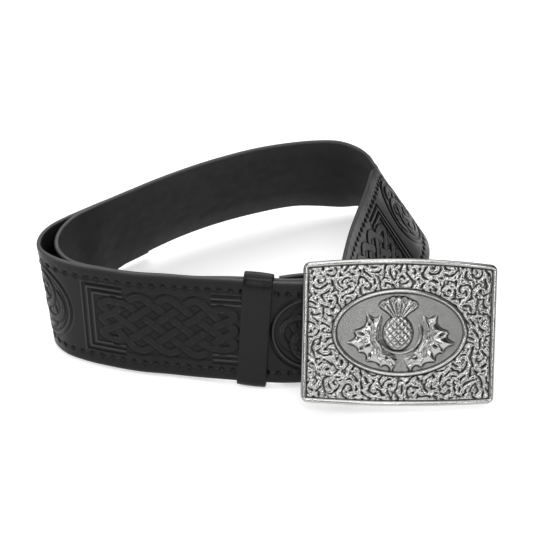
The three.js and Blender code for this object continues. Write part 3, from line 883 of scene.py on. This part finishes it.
def thistleHeight(u, v, step):
    height = 0.07 * banded(u.shape, step, 0.6, 1.0, 5)
    for side in (1, -1):
        leafAt, edge = leafHeight(u * side + (1.2 if side < 0 else 0), v)
        height = np.where(edge > 0, leafAt, height - 0.2 * np.exp(-(edge / 0.35)**2))
    bu, bv = u - thistle["ball"][0], v - thistle["ball"][1]
    q = np.hypot(bu / thistle["ballHalfU"], bv / thistle["ballHalfV"])
    collar = np.hypot((bu - 0.6) / (thistle["ballHalfU"] + 3.4), (bv + 0.2) / (thistle["ballHalfV"] + 1.2))
    collarBand = np.exp(-(((collar - 1) * 9.6) / 0.38)**2) * smooth(5.5, 2.5, bv)
    height = np.maximum(height, 1.2 * collarBand)
    bristles, fanEdge = crownHeight(u, v)
    besideFan = height - 0.15 * np.exp(-(fanEdge / 0.35)**2)
    height = np.where((fanEdge > 0) & (bv > 3), np.maximum(bristles, 0.1), besideFan)
    dome = thistle["ballRise"] * np.sqrt(np.clip(1 - q**2, 0, 1))
    across, rise = bu / 3.7, bv / 3.9
    first = np.abs((across + rise) % 1 - 0.5)
    second = np.abs((across - rise) % 1 - 0.5)
    lattice = np.minimum(0.5 - first, 0.5 - second)
    scales = 0.55 * smooth(0.03, 0.14, lattice) + 0.3 * smooth(0.24, 0.36, lattice) - 0.42
    ball = dome + scales * smooth(1.0, 0.9, q)
    beside = height - 0.2 * np.exp(-((q - 1) * 7 / 0.35)**2)
    return np.where(q < 1, np.maximum(ball, 0.4 * smooth(1, 0.93, q)), beside)


def plateHeight(u, v, step):
    edge = np.minimum(halfU - np.abs(u), np.minimum(topEdge(u) - v, v - bottomEdge(u)))
    q = np.hypot(u / oval["halfU"], v / oval["halfV"])
    slope = np.hypot(u / oval["halfU"]**2, v / oval["halfV"]**2) / np.maximum(q, 1e-3)
    fromOval = (q - 1) / np.maximum(slope, 1e-3)
    field = foliageHeight(u, v, step)
    shown = smooth(0.25, 1.0, fromOval) * smooth(plate["rimWidth"] + 0.2, plate["rimWidth"] + 0.9, edge)
    height = field * shown
    inner = blurred(thistleHeight(u, v, step), step, 0.1)
    half, band = oval["band"] / 2, oval["band"]
    height = np.where(fromOval < -band, inner * smooth(-band, -band - 0.5, fromOval), height)
    ring = np.clip(1 - ((fromOval + half) / half)**2, 0, 1)**0.5 * oval["rise"]
    height = np.where(np.abs(fromOval + half) < half, np.maximum(ring, 0.1), height)
    rimAcross = (edge - plate["rimWidth"] / 2) / (plate["rimWidth"] / 2)
    rim = plate["rimRise"] * np.clip(1 - np.abs(rimAcross)**3, 0, 1)**0.7
    return np.where(edge < plate["rimWidth"], rim, height)


def toBelt(points):
    bowed = points.copy()
    bowed[:, 2] += bowBack(points[:, 0])
    return (bowed @ turned.T + plateCentre) * mm


def plateMesh():
    columns, rows = plate["columns"], plate["rows"]
    bm = bmesh.new()
    bmesh.ops.create_grid(bm, x_segments=columns, y_segments=rows, size=1)
    column, row = gridOrder(bm, columns, rows)
    u = np.linspace(-halfU, halfU, columns + 1)[None, :].repeat(rows + 1, axis=0)
    share = np.linspace(0, 1, rows + 1)[:, None]
    v = bottomEdge(u) + (topEdge(u) - bottomEdge(u)) * share
    step = plate["height"] / rows
    height = plateHeight(u, v, step)
    hollow = blurred(height, step, 0.75) - height
    patina = np.clip(smooth(0.03, 0.32, hollow), 0, 1)
    q = np.hypot(u / (oval["halfU"] - oval["band"]), v / (oval["halfV"] - oval["band"]))
    patina = np.maximum(patina, oval["fieldPatina"] * smooth(1.0, 0.98, q) * smooth(0.5, 0.25, height))
    layer = bm.verts.layers.float.new("patina")
    for vertex, i, j in zip(bm.verts, row, column):
        vertex.co = (u[i, j], v[i, j], height[i, j])
        vertex[layer] = patina[i, j]
    rim = [edge for edge in bm.edges if edge.is_boundary]
    made = bmesh.ops.extrude_edge_only(bm, edges=rim)["geom"]
    backVerts = [item for item in made if isinstance(item, bmesh.types.BMVert)]
    backEdges = [item for item in made if isinstance(item, bmesh.types.BMEdge) and item.is_boundary]
    for vertex in backVerts:
        vertex.co.z = -plate["thickness"]
        vertex[layer] = 0.12
    bmesh.ops.contextual_create(bm, geom=backEdges)
    for cut in np.linspace(-halfU, halfU, 22)[1:-1]:
        large = [face for face in bm.faces if len(face.verts) > 4]
        around = list({edge for face in large for edge in face.edges})
        bmesh.ops.bisect_plane(bm, geom=large + around, dist=1e-5, plane_co=(cut, 0, 0), plane_no=(1, 0, 0))
    bmesh.ops.recalc_face_normals(bm, faces=bm.faces)
    for face in bm.faces:
        face.smooth = len(face.verts) == 4 and face.calc_center_median().z > -plate["thickness"] * 0.4
    placed = toBelt(np.array([vertex.co[:] for vertex in bm.verts]))
    for vertex, place in zip(bm.verts, placed):
        vertex.co = place
    return bm


bucklePlate = meshObject("bucklePlate", plateMesh())
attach(bucklePlate, "root")
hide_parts("buckle")
print("buckle plate", len(bucklePlate.data.polygons))


# Bail wire: straight runs with rounded corners.
def bailPath():
    edge = front[0] + shift
    inward = layerPitch + strap["thickness"] / 2 + bail["clearance"] + bail["wireRadius"]
    beyond = bail["clearance"] + bail["wireRadius"]
    ahead = strap["thickness"] / 2 + beyond
    roots = []
    for side in (-1, 1):
        u = bail["inset"] - halfU
        flat = np.array([[u, side * bail["spread"] * halfV, -plate["thickness"] / 2]])
        roots.append(toBelt(flat)[0] / mm)
    width = strap["width"]
    corners = [roots[0]]
    for height, outward in (
        (width * 0.1, ahead), (-beyond, ahead), (-beyond, -inward),
        (width + beyond, -inward), (width + beyond, 0),
    ):
        corners.append(edge[0] + barUp * height + barOut * outward)
    corners.append(roots[1])
    path = [corners[0]]
    for before, corner, after in zip(corners, corners[1:], corners[2:]):
        bend = min(bail["bend"], np.linalg.norm(corner - before) / 2, np.linalg.norm(after - corner) / 2)
        into = corner + unit(before - corner) * bend
        outOf = corner + unit(after - corner) * bend
        for share in np.linspace(0, 1, 7):
            path.append(into * (1 - share)**2 + corner * 2 * share * (1 - share) + outOf * share**2)
    return np.array(path + [corners[-1]])


def wireTube(path, radius, sides=14):
    tangent = unit(np.gradient(path, axis=0))
    side = unit(np.cross(tangent[0], [0.3, 0.2, 0.9]))
    rings = []
    for place, run in zip(path, tangent):
        side = unit(side - run * (side @ run))
        other = np.cross(run, side)
        turn = np.linspace(0, 2 * math.pi, sides, endpoint=False)[:, None]
        rings.append(place + (np.cos(turn) * side + np.sin(turn) * other) * radius)
    return np.array(rings)


bailWire = meshObject("bailWire", tubeMesh(wireTube(bailPath(), bail["wireRadius"]) * mm, True))
hook = {"inset": 10, "stem": 1.6, "head": 2.4, "reach": 7}


# Round fittings behind the plate, spun about their own axis.
def spunFitting(profile, u, v):
    bm = bmesh.new()
    verts = [bm.verts.new((radius, 0, height)) for radius, height in profile]
    edges = [bm.edges.new(pair) for pair in zip(verts, verts[1:])]
    bmesh.ops.spin(
        bm, geom=verts + edges, cent=(0, 0, 0), axis=(0, 0, 1), angle=2 * math.pi, steps=32, use_merge=True,
    )
    bmesh.ops.remove_doubles(bm, verts=bm.verts, dist=1e-4)
    bmesh.ops.recalc_face_normals(bm, faces=bm.faces)
    shiftW = bowBack(u) - plate["thickness"]
    placed = (np.array([vertex.co[:] for vertex in bm.verts]) + (u, v, shiftW)) @ turned.T + plateCentre
    for vertex, place in zip(bm.verts, placed * mm):
        vertex.co = place
    return bm


stem, head, reach = hook["stem"], hook["head"], hook["reach"]
# radius, height
stud = [
    (0, 0.4), (stem + 1.3, 0.4), (stem + 1.2, -0.2), (stem + 0.5, -0.8), (stem, -1.5), (stem, 2 - reach),
    (head - 0.2, 1.5 - reach), (head, 1.1 - reach), (head, 0.6 - reach), (head - 0.35, 0.15 - reach),
    (head - 0.9, -reach), (0, -reach),
]
studPiece = meshObject("hookStud", spunFitting(stud, halfU - hook["inset"], 0))
pads = []
for side in (-1, 1):
    radius, high = bail["padRadius"], bail["padHeight"]
    shape = [
        (0, 0.4), (radius, 0.4), (radius, -0.2),
        (radius * 0.86, -high * 0.8), (radius * 0.7, -high), (0, -high),
    ]
    place = (bail["inset"] - halfU, side * bail["spread"] * halfV)
    pads.append(meshObject("bailPad" + ("Low" if side < 0 else "High"), spunFitting(shape, *place)))
for obj in [bailWire, studPiece] + pads:
    obj.data.shade_smooth()
    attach(obj, "root")
print("bail and hook")


# Materials
def newMaterial(name):
    material = bpy.data.materials.new(name)
    material.use_nodes = True
    tree = material.node_tree
    return material, tree.nodes, tree.links, tree.nodes["Principled BSDF"]


def addNode(nodes, kind, **inputs):
    node = nodes.new(kind)
    for socket, value in inputs.items():
        node.inputs[socket].default_value = value
    return node


def readAttribute(nodes, name):
    node = nodes.new("ShaderNodeAttribute")
    node.attribute_name = name
    return node.outputs["Fac"]


def mixColour(nodes, links, factor, first, second):
    node = nodes.new("ShaderNodeMix")
    node.data_type = "RGBA"
    for socket, value in ((node.inputs[0], factor), (node.inputs[6], first), (node.inputs[7], second)):
        if isinstance(value, (tuple, float)):
            socket.default_value = value
        else:
            links.new(value, socket)
    return node.outputs[2]


def ramp(nodes, links, source, low, high):
    node = nodes.new("ShaderNodeMapRange")
    links.new(source, node.inputs["Value"])
    for socket, value in zip(("From Min", "To Min", "From Max", "To Max"), low + high):
        node.inputs[socket].default_value = value
    return node.outputs["Result"]


leatherFinish = {
    "face": (0.0072, 0.007, 0.0073, 1),
    # painted shade: darker colour in the pressed grooves and on the ground beside the bands
    "deep": (0.0018, 0.0018, 0.0019, 1),
    # painted shade: darker colour over the whole inner face
    "innerShade": (0.0022, 0.0021, 0.0023, 1),
    # partly the burnished edge's paler tone, partly a painted highlight
    "edge": (0.055, 0.055, 0.056, 1),
    # painted highlight: lighter colour on the raised lips beside the grooves
    "paintedLipHighlight": (0.042, 0.042, 0.043, 1),
    # painted shade: near black in the stitch holes
    "hole": (0.0008, 0.0008, 0.0008, 1),
    "roughness": (0.3, 0.4),
    "innerRoughness": 0.22,  # more than on the face
    "gloss": 0.17,
    "grainScale": 1500,
    "grainDepth": 0.00004,
    "cloudScale": 160,
}


def leatherMaterial(name, finish, worked=True):
    material, nodes, links, shader = newMaterial(name)
    place = nodes.new("ShaderNodeTexCoord").outputs["Object"]
    grain = addNode(nodes, "ShaderNodeTexVoronoi", Scale=finish["grainScale"])
    links.new(place, grain.inputs["Vector"])
    cloud = addNode(nodes, "ShaderNodeTexNoise", Scale=finish["cloudScale"], Detail=5)
    links.new(place, cloud.inputs["Vector"])
    worn = tuple(0.7 * value for value in finish["face"][:3]) + (1,)
    colour = mixColour(nodes, links, cloud.outputs["Fac"], worn, finish["face"])
    if worked:
        relief = readAttribute(nodes, "relief")
        # Painted shade: the deeper the pressing, the nearer the colour comes to the dark groove colour.
        colour = mixColour(nodes, links, relief, colour, finish["deep"])
        # Painted highlight along the raised lips, where the relief stands above the face.
        raised = ramp(nodes, links, relief, (-0.24, 1), (-0.03, 0))
        colour = mixColour(nodes, links, raised, colour, finish["paintedLipHighlight"])
        # Painted shade on the inner face and in the stitch holes, and a lighter edge that is partly its
        # burnished tone and partly a painted highlight.
        for name, coat in (("inner", "innerShade"), ("edge", "edge"), ("hole", "hole")):
            colour = mixColour(nodes, links, readAttribute(nodes, name), colour, finish[coat])
    links.new(colour, shader.inputs["Base Color"])
    low, high = finish["roughness"]
    satin = ramp(nodes, links, cloud.outputs["Fac"], (0.3, low), (0.7, high))
    if worked:
        rougher = nodes.new("ShaderNodeMath")
        rougher.operation = "MULTIPLY_ADD"
        links.new(readAttribute(nodes, "inner"), rougher.inputs[0])
        rougher.inputs[1].default_value = finish["innerRoughness"]
        links.new(satin, rougher.inputs[2])
        satin = rougher.outputs[0]
    links.new(satin, shader.inputs["Roughness"])
    bump = addNode(nodes, "ShaderNodeBump", Strength=0.5, Distance=finish["grainDepth"])
    links.new(grain.outputs["Distance"], bump.inputs["Height"])
    links.new(bump.outputs["Normal"], shader.inputs["Normal"])
    shader.inputs["Specular IOR Level"].default_value = finish["gloss"]
    return material


strapLeather = leatherMaterial("strapLeather", leatherFinish)
keeperFinish = dict(leatherFinish, roughness=(0.26, 0.34), gloss=0.18)
keeperLeather = leatherMaterial("keeperLeather", keeperFinish, False)

threadFinish = {
    "dark": (0.008, 0.008, 0.0083, 1),
    "pale": (0.02, 0.02, 0.0205, 1),
    "twistScale": 1800,
    "roughness": 0.5,
    "gloss": 0.25,
}
threadMaterial, nodes, links, shader = newMaterial("waxedThread")
twist = addNode(nodes, "ShaderNodeTexNoise", Scale=threadFinish["twistScale"])
links.new(nodes.new("ShaderNodeTexCoord").outputs["Object"], twist.inputs["Vector"])
threadColour = mixColour(nodes, links, twist.outputs["Fac"], threadFinish["dark"], threadFinish["pale"])
links.new(threadColour, shader.inputs["Base Color"])
shader.inputs["Roughness"].default_value = threadFinish["roughness"]
shader.inputs["Specular IOR Level"].default_value = threadFinish["gloss"]

metalFinish = {
    "bright": (0.47, 0.47, 0.46, 1),
    "dark": (0.03, 0.031, 0.033, 1),
    "roughness": (0.24, 0.45),
    "stippleScale": 1500,
    "stippleDepth": 0.0004,
    "cloudScale": 260,
}


def metalMaterial(name, finish, aged=True):
    material, nodes, links, shader = newMaterial(name)
    place = nodes.new("ShaderNodeTexCoord").outputs["Object"]
    cloud = addNode(nodes, "ShaderNodeTexNoise", Scale=finish["cloudScale"], Detail=6)
    links.new(place, cloud.inputs["Vector"])
    tarnish = tuple(0.8 * value for value in finish["bright"][:3]) + (1,)
    colour = mixColour(nodes, links, cloud.outputs["Fac"], finish["bright"], tarnish)
    low, high = finish["roughness"]
    if aged:
        patina = readAttribute(nodes, "patina")
        colour = mixColour(nodes, links, patina, colour, finish["dark"])
        links.new(ramp(nodes, links, patina, (0, low), (1, high)), shader.inputs["Roughness"])
        stipple = addNode(nodes, "ShaderNodeTexVoronoi", Scale=finish["stippleScale"])
        links.new(place, stipple.inputs["Vector"])
        punched = nodes.new("ShaderNodeMath")
        punched.operation = "MULTIPLY"
        links.new(stipple.outputs["Distance"], punched.inputs[0])
        links.new(patina, punched.inputs[1])
        bump = addNode(nodes, "ShaderNodeBump", Strength=1, Distance=finish["stippleDepth"])
        links.new(punched.outputs[0], bump.inputs["Height"])
        links.new(bump.outputs["Normal"], shader.inputs["Normal"])
    else:
        uneven = ramp(nodes, links, cloud.outputs["Fac"], (0.3, low), (0.7, low + 0.12))
        links.new(uneven, shader.inputs["Roughness"])
    links.new(colour, shader.inputs["Base Color"])
    shader.inputs["Metallic"].default_value = 1
    return material


plateMetal = metalMaterial("antiquedSilver", metalFinish)
wireMetal = metalMaterial("plainSilver", metalFinish, False)
dressed = [
    (strapLeather, [strapFront, strapBack, strapFold]),
    (keeperLeather, [keeperBand]),
    (threadMaterial, [stitches]),
    (plateMetal, [bucklePlate]),
    (wireMetal, [bailWire, studPiece] + pads),
]
for material, pieces in dressed:
    for obj in pieces:
        obj.data.materials.clear()
        obj.data.materials.append(material)
print("materials")

# Studio
studio = {
    "floor": (0.66, 0.66, 0.66, 1),
    "floorGlow": 0.55,
    "wall": 0.08,  # the room is dark low down and light above
    "sky": 0.75,
    "wallTop": (0.3, 0.75),
    "target": (0.0020286, 0.0418886, 0.0004393),
    "elevation": 30,
    "distance": 1.0,
    "lens": 122.39,
}
bm = bmesh.new()
bmesh.ops.create_grid(bm, x_segments=1, y_segments=1, size=3)
floor = meshObject("floor", bm)
floorMaterial, nodes, links, shader = newMaterial("paleFloor")
shader.inputs["Base Color"].default_value = studio["floor"]
shader.inputs["Roughness"].default_value = 0.9
shader.inputs["Emission Color"].default_value = (1, 1, 1, 1)
shader.inputs["Emission Strength"].default_value = studio["floorGlow"]
floor.data.materials.append(floorMaterial)

world = bpy.data.worlds.new("studio")
bpy.context.scene.world = world
world.use_nodes = True
nodes, links = world.node_tree.nodes, world.node_tree.links
rise = nodes.new("ShaderNodeSeparateXYZ")
links.new(nodes.new("ShaderNodeTexCoord").outputs["Generated"], rise.inputs[0])
low, high = studio["wallTop"]
glow = ramp(nodes, links, rise.outputs["Z"], (low, studio["wall"]), (high, studio["sky"]))
links.new(glow, nodes["Background"].inputs["Strength"])

# name, place, aim, size, power
lamps = [
    ("topSoft", (0.0, 0.15, 1.2), (0.0, 0.0, 0.03), (1.3, 1.3), 12),
    ("frontHigh", (0.05, -0.8, 0.95), (0.02, -0.06, 0.03), (0.9, 0.25), 4.5),
    ("keyLeft", (-0.85, -0.35, 0.6), (-0.02, -0.02, 0.03), (0.35, 0.5), 4),
    ("backHigh", (-0.1, 0.95, 0.9), (0.0, 0.05, 0.03), (0.9, 0.4), 5),
    ("stripLeft", (-0.24, -1.1, 0.45), (0.06, -0.09, 0.04), (0.1, 0.4), 1.2),
    ("stripMiddle", (0.2, -1.15, 0.47), (0.06, -0.09, 0.04), (0.1, 0.4), 1.2),
    ("stripRight", (0.62, -1.0, 0.45), (0.06, -0.09, 0.04), (0.1, 0.4), 1.2),
]
for name, place, aim, size, power in lamps:
    light = bpy.data.lights.new(name, "AREA")
    light.shape = "RECTANGLE"
    light.size, light.size_y = size
    light.energy = power
    lamp = bpy.data.objects.new(name, light)
    lamp.location = place
    lamp.rotation_euler = (Vector(aim) - Vector(place)).to_track_quat("-Z", "Y").to_euler()
    bpy.context.scene.collection.objects.link(lamp)

slope = math.radians(studio["elevation"])
look = Vector((0, math.cos(slope), -math.sin(slope)))
camera = bpy.data.objects.new("camera", bpy.data.cameras.new("camera"))
camera.location = Vector(studio["target"]) - look * studio["distance"]
camera.rotation_euler = look.to_track_quat("-Z", "Y").to_euler()
camera.data.lens = studio["lens"]
camera.data.sensor_width = 36
bpy.context.scene.collection.objects.link(camera)
bpy.context.scene.camera = camera
bpy.context.scene.view_settings.view_transform = "Standard"
print("studio")
